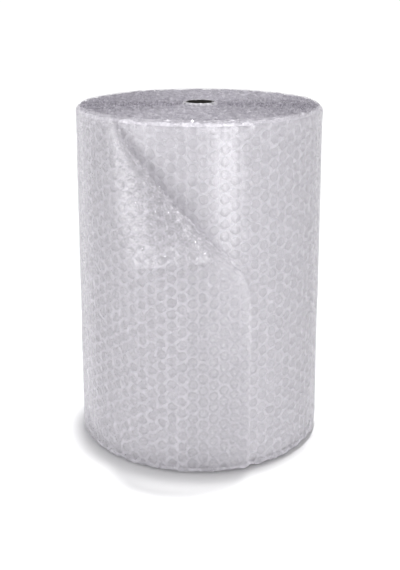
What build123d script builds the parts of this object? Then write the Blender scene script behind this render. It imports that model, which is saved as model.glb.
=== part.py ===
"""Roll of large-bubble wrap standing on end, wound on a cardboard core tube.

Frame: +Z up along the core, origin on the core axis at the bottom end of the roll.
Azimuth 0 is the front of the roll (the -Y side) and grows towards +X.
The web is wound so that its radius grows with azimuth, up to the free edge.
The upper corner at the free edge is folded out and hangs down over the front.
"""
from build123d import *
from math import atan2, cos, pi, radians, sin, tan
import os

# ---- The roll (mm) ----
web_width = 1000.0          # width of the web, so the height of the standing roll
roll_radius = 363.0         # outermost turn, at the free edge
wound_pitch = 8.1           # radial step of one turn of the slightly pressed web
free_edge_azimuth = radians(22.65)
shoulder_radius = 12.0      # soft rounding of the two outer edges
shoulder_margin = 1.0       # the rounding starts this far outside the outermost turn

# ---- The core tube (mm) ----
core_bore_radius = 38.0     # common 76 mm bore
core_wall = 8.0
winding_clearance = 0.3     # between the core and the first turn

# ---- The folded corner: a curl that widens like a cone from its apex on the top edge ----
corner_reach = 410.0        # length of the top edge that is folded over (mm)
lift_angle = 0.48           # from straight down to the line where the web leaves the roll (rad)
curl_ratio = 0.265          # radius of the curl as a share of the distance from the apex
curl_flatness = 0.4         # height of the curl as a share of a round one
apex_gap = 30.0             # the curl is left out this close to its apex (mm)
root_depth = 1.0            # how deep the curl is let into the turn that carries it (mm)
root_angle = 0.05           # how far it reaches back under that turn (rad)

full_turn = 2 * pi
core_outer_radius = core_bore_radius + core_wall
web_bore_radius = core_outer_radius + winding_clearance
free_edge_arc = roll_radius * free_edge_azimuth
apex_arc = free_edge_arc - corner_reach
apex_azimuth = apex_arc / roll_radius


def around(radius, azimuth, height=0.0):
    """Point at a radius, azimuth and height about the roll's axis."""
    return Vector(radius * sin(azimuth), -radius * cos(azimuth), height)


def spiral(start, end, turns_in=0, spans=24):
    """Curve along the web's outer face from one azimuth to another, some turns in."""
    points = []
    for i in range(spans + 1):
        azimuth = start + (end - start) * i / spans
        turns = turns_in + (free_edge_azimuth - azimuth) / full_turn
        points.append(around(roll_radius - wound_pitch * turns, azimuth))
    return Spline(*points)


def make_core_tube():
    """Cardboard tube, as long as the web is wide."""
    return extrude(Circle(core_outer_radius) - Circle(core_bore_radius), web_width)


def make_wound_turns():
    """All the turns as one solid, with the step of the free edge and soft shoulders."""
    outer_face = spiral(free_edge_azimuth - full_turn, free_edge_azimuth)
    step = Line(outer_face @ 1, outer_face @ 0)
    outline = make_face([outer_face, step])
    turns = extrude(outline - Circle(web_bore_radius), web_width)
    from_floor = (Align.CENTER, Align.CENTER, Align.MIN)
    barrel = Cylinder(roll_radius + shoulder_margin, web_width, align=from_floor)
    return turns & fillet(barrel.edges().filter_by(GeomType.CIRCLE), shoulder_radius)


def make_bared_layer():
    """The space that the lifted corner leaves in the outermost turn."""
    beyond = 2 * roll_radius
    floor = spiral(apex_azimuth, free_edge_azimuth, turns_in=1)
    edge_side = Line(floor @ 1, around(beyond, free_edge_azimuth))
    outside = Line(edge_side @ 1, around(beyond, apex_azimuth))
    apex_side = Line(outside @ 1, floor @ 0)
    layer = extrude(make_face([floor, edge_side, outside, apex_side]), web_width)

    # only what lies above a flat cut along the lift line stays
    middle = (apex_azimuth + free_edge_azimuth) / 2
    chord = 2 * roll_radius * sin((free_edge_azimuth - apex_azimuth) / 2)
    drop = corner_reach / tan(lift_angle + root_angle)
    down_the_line = around(chord, middle + pi / 2, -drop)
    cut_centre = around(roll_radius, middle, web_width - drop / 2)
    cut = Plane(cut_centre, x_dir=down_the_line, z_dir=around(1, middle).cross(down_the_line))
    above = cut * Box(2 * beyond, 2 * beyond, beyond, align=(Align.CENTER, Align.CENTER, Align.MIN))
    return layer & above


def curl_point(distance, angle, depth):
    """Point of the folded corner, at a depth under the web's outer face.

    The distance and angle (from straight down) place it on the flat web, seen from the apex.
    """
    turned = max(angle - lift_angle, 0.0) / curl_ratio
    seen_angle = min(angle, lift_angle) + curl_ratio * sin(turned)
    rise = curl_flatness * curl_ratio * (1 - cos(turned))
    heading = atan2(curl_flatness * sin(turned), cos(turned))
    flat = distance * cos(rise)
    swing = depth * sin(heading)
    lift = distance * sin(rise) - depth * cos(heading)
    along = flat * sin(seen_angle) + swing * cos(seen_angle)
    down = flat * cos(seen_angle) - swing * sin(seen_angle)
    return around(roll_radius + lift, (apex_arc + along) / roll_radius, web_width - down)


def make_curl_face(depth, columns=28, rows=6):
    """One face of the folded corner, from its root in the roll to the web's top edge."""
    first = lift_angle - root_angle
    grid = []
    for i in range(columns + 1):
        angle = first + (pi / 2 - first) * i / columns
        to_free_edge = corner_reach / sin(angle)
        to_shoulder = (web_width - shoulder_radius) / max(cos(angle), 0.1)
        reach = min(to_free_edge, to_shoulder) - apex_gap
        grid.append([curl_point(apex_gap + reach * j / rows, angle, depth) for j in range(rows + 1)])
    return Face.make_surface_from_array_of_points(grid)


def make_folded_corner():
    """The folded corner as one bent plate of the web's thickness."""
    film_face = make_curl_face(root_depth)
    bubble_face = make_curl_face(root_depth + wound_pitch)
    pairs = zip(film_face.edges(), bubble_face.edges())
    rims = [Face.make_surface_from_curves(one, other) for one, other in pairs]
    return Solid(Shell([film_face, bubble_face] + rims))


def make_bubble_web():
    """The whole web as one solid: its wound turns and the folded corner."""
    return make_wound_turns() - make_bared_layer() + make_folded_corner()


os.makedirs("parts", exist_ok=True)
export_step(make_core_tube(), "parts/core_tube.step")
export_step(make_bubble_web(), "parts/bubble_web.step")
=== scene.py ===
"""Looks of the bubble wrap roll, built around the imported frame.

The web is one long sheet: a smooth film outside and a film of domes inside. It is mapped from
its flat state (arc along the web, height) onto the roll, where its upper corner curls out at the
free edge and hangs down over the front. All sizes are in metres.
"""
import math

import bpy
import numpy as np
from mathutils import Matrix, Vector


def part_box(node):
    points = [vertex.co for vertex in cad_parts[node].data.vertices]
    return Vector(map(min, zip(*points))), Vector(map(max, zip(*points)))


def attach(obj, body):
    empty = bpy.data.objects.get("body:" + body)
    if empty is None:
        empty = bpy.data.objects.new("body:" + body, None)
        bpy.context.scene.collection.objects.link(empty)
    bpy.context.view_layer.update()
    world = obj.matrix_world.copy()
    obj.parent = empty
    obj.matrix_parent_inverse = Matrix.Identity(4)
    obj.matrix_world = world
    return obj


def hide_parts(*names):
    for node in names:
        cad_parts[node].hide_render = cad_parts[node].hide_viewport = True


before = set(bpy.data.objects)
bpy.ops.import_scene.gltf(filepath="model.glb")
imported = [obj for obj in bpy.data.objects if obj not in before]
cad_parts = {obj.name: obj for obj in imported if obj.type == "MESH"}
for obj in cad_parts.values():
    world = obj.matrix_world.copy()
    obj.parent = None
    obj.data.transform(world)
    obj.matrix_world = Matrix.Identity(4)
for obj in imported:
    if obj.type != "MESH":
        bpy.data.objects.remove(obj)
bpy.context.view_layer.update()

# ---- The web and its winding, as on the CAD solid ----
web_low, web_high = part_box("bubble_web")
core_low, core_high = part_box("core_tube")
web_width = web_high[2] - web_low[2]
core_radius = (core_high[0] - core_low[0]) / 2
roll_radius = 0.363
wound_pitch = 0.0081
free_edge_azimuth = math.radians(22.65)
free_edge_arc = roll_radius * free_edge_azimuth
turn_length = 2 * math.pi * roll_radius

# ---- The folded corner, as on the CAD solid ----
corner_reach = 0.410
lift_angle = 0.48
curl_ratio = 0.265
curl_flatness = 0.4
apex_arc = free_edge_arc - corner_reach
slack_turn = 0.4
free_turn = 0.8

# ---- Bubbles ----
columns_per_turn = 78
column_pitch = turn_length / columns_per_turn
row_pitch = 0.0335
bubble_radius = 0.0142
wound_bubble_height = 0.0070
loose_bubble_height = 0.0092
slack_reach = 0.17
dome_sides = 18
dome_rings = ((1.0, 0.0), (0.97, 0.38), (0.84, 0.76), (0.54, 0.96))   # shares of radius and of depth
film_bulge = 0.0009
edge_margin = 0.003
shown_arc = turn_length + corner_reach + 0.12

# ---- Unevenness of the film ----
wound_waves = 0.0006
loose_waves = 0.0022
crumple_depth = 0.0034
crumple_reach = 0.040

# ---- Ends of the roll ----
shoulder_height = 0.024
shoulder_drop = 0.012
shoulder_sag = 0.003
end_depth = 0.016
end_inset = 0.0015

# ---- Turns below the shown ones ----
body_gap = 0.003
body_bevel = 0.006
body_bevel_height = 0.012
core_gap = 0.0005


def smooth_step(x):
    x = np.clip(x, 0, 1)
    return x * x * (3 - 2 * x)


def waves(s, z, seed, longest, shortest, count=9):
    """Smooth seeded unevenness over the flat web, between about -1 and 1."""
    draw = np.random.default_rng(seed)
    total = np.zeros(np.broadcast(s, z).shape)
    for _ in range(count):
        length = draw.uniform(shortest, longest)
        direction = draw.uniform(0, math.pi)
        phase = draw.uniform(0, 2 * math.pi)
        along = s * math.cos(direction) + z * math.sin(direction)
        total = total + np.sin(along * 2 * math.pi / length + phase)
    return total / math.sqrt(count)


def edge_distance(z):
    """Distance from the nearer long edge of the web."""
    return np.minimum(z, web_width - z)


def turned_share(s, z):
    """How far the curl has turned the web at a point, as an angle; 0 where it lies on the roll."""
    angle = np.arctan2(s - apex_arc, web_width - z)
    on_outer_turn = s > free_edge_arc - turn_length / 2
    return np.where(on_outer_turn, np.clip(angle - lift_angle, 0, None), 0) / curl_ratio


def is_slack(s, z):
    """Whether the web is off the roll at a point, or hangs slack beside its free edge."""
    return (turned_share(s, z) > slack_turn) | (s > free_edge_arc - slack_reach)


def web_point(s, z, depth):
    """Place on the roll of a point of the flat web, at a depth on its bubble side."""
    s, z, depth = np.broadcast_arrays(np.asarray(s, float), np.asarray(z, float), np.asarray(depth, float))
    down = web_width - z
    distance = np.hypot(s - apex_arc, down)
    turned = turned_share(s, z)
    loose = smooth_step(turned / free_turn)
    near_edge = smooth_step(1 - edge_distance(z) / crumple_reach)
    depth = depth + loose * loose_waves * waves(s, z, 9, 0.15, 0.04)
    angle = np.where(turned > 0, lift_angle + curl_ratio * np.sin(turned), np.arctan2(s - apex_arc, down))
    rise = curl_flatness * curl_ratio * (1 - np.cos(turned))
    heading = np.arctan2(curl_flatness * np.sin(turned), np.cos(turned))
    flat = distance * np.cos(rise)
    swing = depth * np.sin(heading)
    lift = distance * np.sin(rise) - depth * np.cos(heading)
    place = apex_arc + flat * np.sin(angle) + swing * np.cos(angle)
    below = flat * np.cos(angle) - swing * np.sin(angle)
    rounding = (1 - loose) * (1 - np.clip(edge_distance(z) / shoulder_height, 0, 1)) ** 2
    below = below + shoulder_sag * rounding * np.where(z > web_width / 2, 1, -1)
    crumple = crumple_depth * near_edge * waves(s, z, 5, 0.08, 0.028)
    settled = (1 - loose) * (wound_waves * waves(s, z, 3, 0.5, 0.08) + crumple) - shoulder_drop * rounding
    radius = roll_radius - wound_pitch * (free_edge_arc - s) / turn_length + settled + lift
    azimuth = place / roll_radius
    return np.stack([radius * np.sin(azimuth), -radius * np.cos(azimuth), web_width - below], axis=-1)


def make_piece(name, points, faces, materials, face_materials=None, milkiness=None, replaced=None):
    """A smooth mesh of the used points, welded where they meet, that rides on the roll."""
    points = np.asarray(points, float).reshape(-1, 3)
    _, first, inverse = np.unique(np.round(points, 6), axis=0, return_index=True, return_inverse=True)
    faces = inverse.reshape(-1)[np.asarray(faces)]
    used, faces = np.unique(faces, return_inverse=True)
    faces = faces.reshape(-1, 3)
    mesh = bpy.data.meshes.new(name)
    mesh.from_pydata(points[first[used]].tolist(), [], faces.tolist())
    for material in materials:
        mesh.materials.append(material)
    if face_materials is not None:
        mesh.polygons.foreach_set("material_index", np.asarray(face_materials, dtype=np.int32))
    mesh.polygons.foreach_set("use_smooth", [True] * len(mesh.polygons))
    if milkiness is not None:
        share = mesh.attributes.new("milkiness", "FLOAT", "POINT")
        share.data.foreach_set("value", np.asarray(milkiness, dtype=np.float32).reshape(-1)[first[used]])
    mesh.update()
    piece = bpy.data.objects.new(name, mesh)
    bpy.context.scene.collection.objects.link(piece)
    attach(piece, "root")
    if replaced:
        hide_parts(replaced)
    return piece


def grid_triangles(rows, columns, closed=False):
    """Triangles of a grid of points, row by row; a closed grid joins its last column to its first."""
    index = np.arange(rows * columns).reshape(rows, columns)
    if closed:
        index = np.concatenate([index, index[:, :1]], axis=1)
    a, b = index[:-1, :-1], index[:-1, 1:]
    c, d = index[1:, 1:], index[1:, :-1]
    return np.concatenate([np.stack([a, b, c], -1).reshape(-1, 3), np.stack([a, c, d], -1).reshape(-1, 3)])


# ---------------------------------------------------------------- materials

def new_material(name):
    material = bpy.data.materials.new(name)
    material.use_nodes = True
    tree = material.node_tree
    tree.nodes.clear()
    return material, tree.nodes, tree.links


def add_noise(nodes, links, scale, detail):
    where = nodes.new("ShaderNodeTexCoord")
    noise = nodes.new("ShaderNodeTexNoise")
    noise.inputs["Scale"].default_value = scale
    noise.inputs["Detail"].default_value = detail
    links.new(where.outputs["Object"], noise.inputs["Vector"])
    return noise


def add_bump(nodes, links, noise, depth, strength):
    bump = nodes.new("ShaderNodeBump")
    bump.inputs["Distance"].default_value = depth
    bump.inputs["Strength"].default_value = strength
    links.new(noise.outputs["Fac"], bump.inputs["Height"])
    return bump


def film_material(name, haze, haze_spread, roughness, wrinkle, wrinkle_depth, edge_clear=0.85, milky=None):
    """Thin film: it lets light through, scatters some of it and reflects at its surface.

    The haze is a share of the light, varied by noise; milky is its value on the laminated land
    between bubbles, blended by the mesh's milkiness.
    """
    material, nodes, links = new_material(name)
    output = nodes.new("ShaderNodeOutputMaterial")
    noise = add_noise(nodes, links, wrinkle, 3)
    noise.inputs["Distortion"].default_value = 0.8
    bump = add_bump(nodes, links, noise, wrinkle_depth, 0.6)
    facing = nodes.new("ShaderNodeLayerWeight")
    facing.inputs["Blend"].default_value = 0.5
    clear = nodes.new("ShaderNodeMapRange")
    clear.inputs["To Min"].default_value = 0.97
    clear.inputs["To Max"].default_value = edge_clear
    links.new(facing.outputs["Facing"], clear.inputs["Value"])
    see_through = nodes.new("ShaderNodeBsdfTransparent")
    links.new(clear.outputs["Result"], see_through.inputs["Color"])
    milk = nodes.new("ShaderNodeBsdfDiffuse")
    milk.inputs["Color"].default_value = (*milk_colour, 1)
    links.new(bump.outputs["Normal"], milk.inputs["Normal"])
    haziness = nodes.new("ShaderNodeMapRange")
    haziness.inputs["From Min"].default_value = 0.3
    haziness.inputs["From Max"].default_value = 0.7
    haziness.inputs["To Min"].default_value = haze * (1 - haze_spread)
    haziness.inputs["To Max"].default_value = haze * (1 + haze_spread)
    links.new(noise.outputs["Fac"], haziness.inputs["Value"])
    haze_output = haziness.outputs["Result"]
    if milky:
        land = nodes.new("ShaderNodeAttribute")
        land.attribute_name = "milkiness"
        gain = nodes.new("ShaderNodeMapRange")
        gain.inputs["To Min"].default_value = 1.0
        gain.inputs["To Max"].default_value = milky / haze
        links.new(land.outputs["Fac"], gain.inputs["Value"])
        product = nodes.new("ShaderNodeMath")
        product.operation = "MULTIPLY"
        links.new(haze_output, product.inputs[0])
        links.new(gain.outputs["Result"], product.inputs[1])
        haze_output = product.outputs[0]
    body = nodes.new("ShaderNodeMixShader")
    links.new(haze_output, body.inputs["Fac"])
    links.new(see_through.outputs[0], body.inputs[1])
    links.new(milk.outputs[0], body.inputs[2])
    shine = nodes.new("ShaderNodeBsdfGlossy")
    shine.inputs["Roughness"].default_value = roughness
    shine.inputs["Color"].default_value = (0.95, 0.94, 0.97, 1)
    links.new(bump.outputs["Normal"], shine.inputs["Normal"])
    steep = nodes.new("ShaderNodeMath")
    steep.operation = "POWER"
    steep.inputs[1].default_value = 4.0
    links.new(facing.outputs["Facing"], steep.inputs[0])
    reflection = nodes.new("ShaderNodeMapRange")
    reflection.inputs["To Min"].default_value = 0.075
    reflection.inputs["To Max"].default_value = 0.40
    links.new(steep.outputs[0], reflection.inputs["Value"])
    surface = nodes.new("ShaderNodeMixShader")
    links.new(reflection.outputs["Result"], surface.inputs["Fac"])
    links.new(body.outputs[0], surface.inputs[1])
    links.new(shine.outputs[0], surface.inputs[2])
    links.new(surface.outputs[0], output.inputs["Surface"])
    return material


def mottled_material(name, dark, light, scale, roughness, bump_depth):
    """Solid surface whose colour drifts between two tones."""
    material, nodes, links = new_material(name)
    output = nodes.new("ShaderNodeOutputMaterial")
    shader = nodes.new("ShaderNodeBsdfPrincipled")
    shader.inputs["Roughness"].default_value = roughness
    noise = add_noise(nodes, links, scale, 4)
    ramp = nodes.new("ShaderNodeValToRGB")
    ramp.color_ramp.elements[0].position = 0.35
    ramp.color_ramp.elements[0].color = (*dark, 1)
    ramp.color_ramp.elements[1].position = 0.65
    ramp.color_ramp.elements[1].color = (*light, 1)
    links.new(noise.outputs["Fac"], ramp.inputs["Fac"])
    links.new(ramp.outputs["Color"], shader.inputs["Base Color"])
    bump = add_bump(nodes, links, noise, bump_depth, 0.5)
    links.new(bump.outputs["Normal"], shader.inputs["Normal"])
    links.new(shader.outputs[0], output.inputs["Surface"])
    return material


milk_colour = (0.83, 0.81, 0.86)
wound_film = film_material("wound_film", 0.12, 0.3, 0.22, 60, 0.0008, milky=0.34)
loose_film = film_material("loose_film", 0.11, 0.5, 0.16, 140, 0.0020, milky=0.22)
wound_domes = film_material("wound_domes", 0.12, 0.3, 0.16, 60, 0.0008, edge_clear=0.92)
loose_domes = film_material("loose_domes", 0.10, 0.5, 0.12, 140, 0.0022, edge_clear=0.95)
end_film = film_material("end_film", 0.60, 0.55, 0.20, 55, 0.0040)
inner_turns = mottled_material("inner_turns", (0.50, 0.49, 0.52), (0.62, 0.605, 0.64), 55, 0.5, 0.001)
# Near-black colour on the whole core, so that the hole inside it reads dark.
core_board = mottled_material("core_board", (0.030, 0.028, 0.025), (0.060, 0.055, 0.048), 220, 0.9, 0.0006)


# ---------------------------------------------------------------- the web

def web_cells():
    """Flat centres of the six-sided cells that tile the web, and which of them hold a bubble."""
    margin = bubble_radius + edge_margin
    columns = np.arange(-1, int(shown_arc / column_pitch) + 1)
    rows = np.arange(-1, int(web_width / row_pitch) + 2)
    column, row = np.meshgrid(columns, rows, indexing="ij")
    s = free_edge_arc - margin - column * column_pitch
    z = margin + (row + 0.5 * (column % 2)) * row_pitch
    s, z = s.reshape(-1), z.reshape(-1)
    holds = (s < free_edge_arc - margin + 1e-6) & (edge_distance(z) > margin - 1e-6)
    return s, z, holds


def cell_border():
    """Twelve points around a cell: its six corners and the middles between them."""
    third, half = column_pitch / 3, row_pitch / 2
    corners = np.array([(2 * third, 0), (third, half), (-third, half), (-2 * third, 0), (-third, -half),
                        (third, -half)])
    middles = (corners + np.roll(corners, -1, axis=0)) / 2
    return np.stack([corners, middles], axis=1).reshape(-1, 2)


def make_smooth_film():
    """The smooth film: a low pillow over each bubble, and flat land welded to the film of domes."""
    s, z, holds = web_cells()
    border = cell_border()
    sides = len(border)
    around = np.arctan2(border[:, 1], border[:, 0])
    circle = np.stack([np.cos(around), np.sin(around)], axis=-1) * bubble_radius
    rings = [border, circle, circle * 0.6, np.zeros((1, 2))]
    bulges = [0.0, 0.0, 0.68, 1.0]
    milk_shares = [1.0, 0.8, 0.15, 0.0]
    offsets = np.concatenate(rings)
    bulge = np.concatenate([np.full(len(ring), share) for ring, share in zip(rings, bulges)])
    milk = np.concatenate([np.full(len(ring), share) for ring, share in zip(rings, milk_shares)])
    flat_s = np.clip(s[:, None] + offsets[:, 0], free_edge_arc - shown_arc, free_edge_arc)
    flat_z = np.clip(z[:, None] + offsets[:, 1], 0, web_width)
    depth = -film_bulge * bulge * holds[:, None]
    milk = np.where(holds[:, None], milk, 0.35)
    points = web_point(flat_s, flat_z, depth)
    k = np.arange(sides)
    after = (k + 1) % sides
    bands = []
    for ring in (0, 1):
        a, b = ring * sides, (ring + 1) * sides
        bands.append(np.stack([a + k, a + after, b + after], -1))
        bands.append(np.stack([a + k, b + after, b + k], -1))
    bands.append(np.stack([2 * sides + k, 2 * sides + after, np.full(sides, 3 * sides)], -1))
    cell_faces = np.concatenate(bands)
    stride = len(offsets)
    faces = cell_faces[None] + np.arange(len(s))[:, None, None] * stride
    flat = np.stack([flat_s, flat_z], -1).reshape(-1, 2)
    corner = flat[faces]
    one, two = corner[:, :, 1] - corner[:, :, 0], corner[:, :, 2] - corner[:, :, 0]
    real = np.abs(one[..., 0] * two[..., 1] - one[..., 1] * two[..., 0]) > 1e-8
    loose = np.broadcast_to(is_slack(s, z)[:, None], real.shape)
    outer = np.broadcast_to((s > free_edge_arc - shown_arc / 2)[:, None], real.shape)
    for part, side in enumerate((outer, ~outer)):
        chosen = real & side
        make_piece(f"smooth_film_{part + 1}", points, faces[chosen], (wound_film, loose_film),
                   face_materials=loose[chosen], milkiness=milk,
                   replaced="bubble_web" if part == 0 else None)


def make_bubbles():
    """The domes of air on the inner side of the film, as rings closed by a flat top."""
    s, z, holds = web_cells()
    s, z = s[holds], z[holds]
    count = len(s)
    draw = np.random.default_rng(7)
    loose = smooth_step(turned_share(s, z) / free_turn)
    height = wound_bubble_height + (loose_bubble_height - wound_bubble_height) * loose
    height = height * draw.uniform(0.82, 1.06, count)
    size = bubble_radius * draw.uniform(0.95, 1.02, count)
    tilt = draw.uniform(-0.16, 0.16, (count, 2))
    around = np.linspace(0, 2 * math.pi, dome_sides, endpoint=False)
    rings = []
    for ring_radius, ring_depth in dome_rings:
        ds = np.outer(size, ring_radius * np.cos(around))
        dz = np.outer(size, ring_radius * np.sin(around))
        lean = 1 + (tilt[:, :1] * np.cos(around) + tilt[:, 1:] * np.sin(around)) * ring_radius
        rings.append(web_point(s[:, None] + ds, z[:, None] + dz, height[:, None] * ring_depth * lean))
    rings.append(web_point(s[:, None], z[:, None], height[:, None]))
    points = np.concatenate(rings, axis=1)
    k = np.arange(dome_sides)
    last = (len(dome_rings) - 1) * dome_sides
    fan = np.stack([last + k, last + (k + 1) % dome_sides, np.full(dome_sides, last + dome_sides)], -1)
    dome_faces = np.concatenate([grid_triangles(len(dome_rings), dome_sides, closed=True), fan])
    faces = dome_faces[None] + np.arange(count)[:, None, None] * points.shape[1]
    outer = s > free_edge_arc - shown_arc / 2
    on_loose = np.repeat(is_slack(s, z)[:, None], len(dome_faces), axis=1)
    for part, side in enumerate((outer, ~outer)):
        make_piece(f"bubbles_{part + 1}", points, faces[side].reshape(-1, 3), (wound_domes, loose_domes),
                   face_materials=on_loose[side].reshape(-1))


# ---------------------------------------------------------------- the wound body and its ends

def make_inner_turns():
    """The turns below the shown ones, as one milky body around the core."""
    outer = roll_radius - 2 * wound_pitch - body_gap
    inner = core_radius + core_gap
    low, high = end_depth, web_width - end_depth
    profile = [(inner, low), (outer - body_bevel, low), (outer, low + body_bevel_height)]
    profile += [(outer, low + (high - low) * i / 24) for i in range(1, 24)]
    profile += [(outer, high - body_bevel_height), (outer - body_bevel, high), (inner, high)]
    angles = np.linspace(0, 2 * math.pi, 180, endpoint=False)
    points = [[(r * math.sin(a), -r * math.cos(a), z) for a in angles] for r, z in profile]
    faces = grid_triangles(len(profile), len(angles), closed=True)
    make_piece("inner_turns", points, faces, (inner_turns,))


def end_edge(name, top, corrugated, seed):
    """Edge of one of the two films at an end of the roll, wound inwards from the shown turns."""
    draw = np.random.default_rng(seed)
    step = 0.0050 if corrugated else 0.0065
    innermost = (roll_radius - core_radius) / wound_pitch - 0.12
    turns = [1.0]
    while turns[-1] < innermost:
        radius = roll_radius - wound_pitch * turns[-1]
        turns.append(turns[-1] + step / (2 * math.pi * radius))
    turns = np.array(turns)
    count = len(turns)
    azimuth = free_edge_azimuth - 2 * math.pi * turns
    radius = roll_radius - wound_pitch * turns
    arc = np.arange(count) * step
    swell = np.convolve(draw.normal(0, 1, count + 6), np.ones(4) / 4, "valid")[:count]
    if corrugated:
        rise = 0.5 - 0.5 * np.cos(arc * 2 * math.pi / column_pitch + draw.uniform(0, 6))
        radius = radius - wound_pitch * (0.10 + 0.78 * rise)
    lumps = waves(radius * np.sin(azimuth), radius * np.cos(azimuth), 15, 0.065, 0.018)
    inset = end_inset + 0.0022 * (1 + np.clip(lumps, -1, 1)) + 0.0024 * np.abs(swell)
    inset = inset + draw.uniform(0, 0.0022, count)
    inset = inset + 0.004 * np.exp(-(turns - turns[0]) / 0.8)
    rows = []
    for share in (0.0, 0.4, 1.0):
        sway = (0.0022 * swell + draw.uniform(-0.0018, 0.0018, count)) * (1 - share)
        level = inset + (end_depth + 0.002 - inset) * share
        z = web_width - level if top else level
        r = radius + sway
        rows.append(np.stack([r * np.sin(azimuth), -r * np.cos(azimuth), z], axis=-1))
    make_piece(name, rows, grid_triangles(3, count), (end_film,))


def make_core_collar():
    """Crumpled film that leans over the rim of the core at the top end."""
    draw = np.random.default_rng(41)
    angles = np.linspace(0, 2 * math.pi, 120, endpoint=False)
    profile = ((0.0530, -0.0100), (0.0500, -0.0018), (0.0462, 0.0006), (0.0425, 0.0004), (0.0390, -0.0012))
    rows = []
    for radius, height in profile:
        uneven = np.convolve(draw.normal(0, 0.0024, len(angles) + 2), np.ones(3) / 3, "valid")
        r = radius + uneven
        z = web_width + height + draw.uniform(-0.0008, 0.0008, len(angles))
        rows.append(np.stack([r * np.sin(angles), -r * np.cos(angles), z], axis=-1))
    make_piece("core_collar", rows, grid_triangles(len(profile), len(angles), closed=True), (end_film,))


make_smooth_film()
make_bubbles()
make_inner_turns()
for end_name, is_top, end_seed in (("top", True, 21), ("bottom", False, 31)):
    end_edge(f"smooth_film_edge_{end_name}", is_top, False, end_seed)
    end_edge(f"bubble_film_edge_{end_name}", is_top, True, end_seed + 1)
make_core_collar()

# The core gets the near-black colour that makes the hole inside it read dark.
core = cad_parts["core_tube"]
core.data.materials.clear()
core.data.materials.append(core_board)


# ---------------------------------------------------------------- stage, light and camera

camera_lens = 61.73
camera_shift = -0.1667
camera_distance = 2.843
camera_height = 1.384
camera_pitch = 12.864


def make_floor():
    size = 60.0
    mesh = bpy.data.meshes.new("floor")
    corners = ((-size, -size), (size, -size), (size, size), (-size, size))
    mesh.from_pydata([(x, y, -0.0005) for x, y in corners], [], [(0, 1, 2, 3)])
    material, nodes, links = new_material("pale_floor")
    output = nodes.new("ShaderNodeOutputMaterial")
    shader = nodes.new("ShaderNodeBsdfDiffuse")
    shader.inputs["Color"].default_value = (0.93, 0.93, 0.93, 1)
    links.new(shader.outputs[0], output.inputs["Surface"])
    mesh.materials.append(material)
    floor = bpy.data.objects.new("floor", mesh)
    bpy.context.scene.collection.objects.link(floor)


def aim_lamp(name, light, azimuth, distance, height, aim_height):
    """Place a lamp around the roll; azimuth 0 is the camera's side and grows to the right."""
    lamp = bpy.data.objects.new(name, light)
    a = math.radians(azimuth)
    lamp.location = (distance * math.sin(a), -distance * math.cos(a), height)
    aim = Vector((0, 0, aim_height)) - lamp.location
    lamp.rotation_euler = aim.to_track_quat("-Z", "Y").to_euler()
    lamp.visible_camera = False
    bpy.context.scene.collection.objects.link(lamp)


def make_soft_box(name, azimuth, distance, height, size_x, size_y, power):
    light = bpy.data.lights.new(name, "AREA")
    light.shape = "RECTANGLE"
    light.size, light.size_y = size_x, size_y
    light.energy = power
    aim_lamp(name, light, azimuth, distance, height, height)


def make_sun(azimuth, lean, spread, strength):
    """Light from nearly overhead, leaning back from the camera by some degrees."""
    light = bpy.data.lights.new("overhead", "SUN")
    light.angle = math.radians(spread)
    light.energy = strength
    aim_lamp("overhead", light, azimuth, 4 * math.tan(math.radians(lean)), 4.0, 0.0)


def make_world(horizon, zenith, side_lean):
    """Bright haze at the horizon, softer overhead, and brighter on the left than on the right."""
    world = bpy.data.worlds.new("studio")
    world.use_nodes = True
    nodes, links = world.node_tree.nodes, world.node_tree.links
    where = nodes.new("ShaderNodeTexCoord")
    split = nodes.new("ShaderNodeSeparateXYZ")
    links.new(where.outputs["Generated"], split.inputs[0])
    ramp = nodes.new("ShaderNodeValToRGB")
    ramp.color_ramp.elements[0].position = 0.05
    ramp.color_ramp.elements[0].color = (horizon * 0.99, horizon * 0.98, horizon, 1)
    ramp.color_ramp.elements[1].position = 0.6
    ramp.color_ramp.elements[1].color = (zenith * 0.98, zenith * 0.975, zenith, 1)
    links.new(split.outputs["Z"], ramp.inputs["Fac"])
    links.new(ramp.outputs["Color"], nodes["Background"].inputs["Color"])
    side = nodes.new("ShaderNodeMapRange")
    side.inputs["From Min"].default_value = -1.0
    side.inputs["To Min"].default_value = 1 + side_lean
    side.inputs["To Max"].default_value = 1 - side_lean
    links.new(split.outputs["X"], side.inputs["Value"])
    links.new(side.outputs["Result"], nodes["Background"].inputs["Strength"])
    bpy.context.scene.world = world


def make_camera():
    camera = bpy.data.cameras.new("camera")
    camera.lens = camera_lens
    camera.sensor_width = 36.0
    camera.shift_y = camera_shift
    eye = bpy.data.objects.new("camera", camera)
    eye.location = (0, -camera_distance, camera_height)
    eye.rotation_euler = (math.radians(90 - camera_pitch), 0, 0)
    bpy.context.scene.collection.objects.link(eye)
    bpy.context.scene.camera = eye


make_floor()
make_world(0.92, 0.32, 0.35)
make_sun(150, 2.8, 4.5, 2.45)
make_soft_box("key", 22, 2.25, 1.1, 0.8, 2.1, 15)
make_soft_box("left_fill", -62, 3.0, 1.2, 2.0, 2.2, 17)
make_camera()
bpy.context.scene.view_settings.view_transform = "Standard"
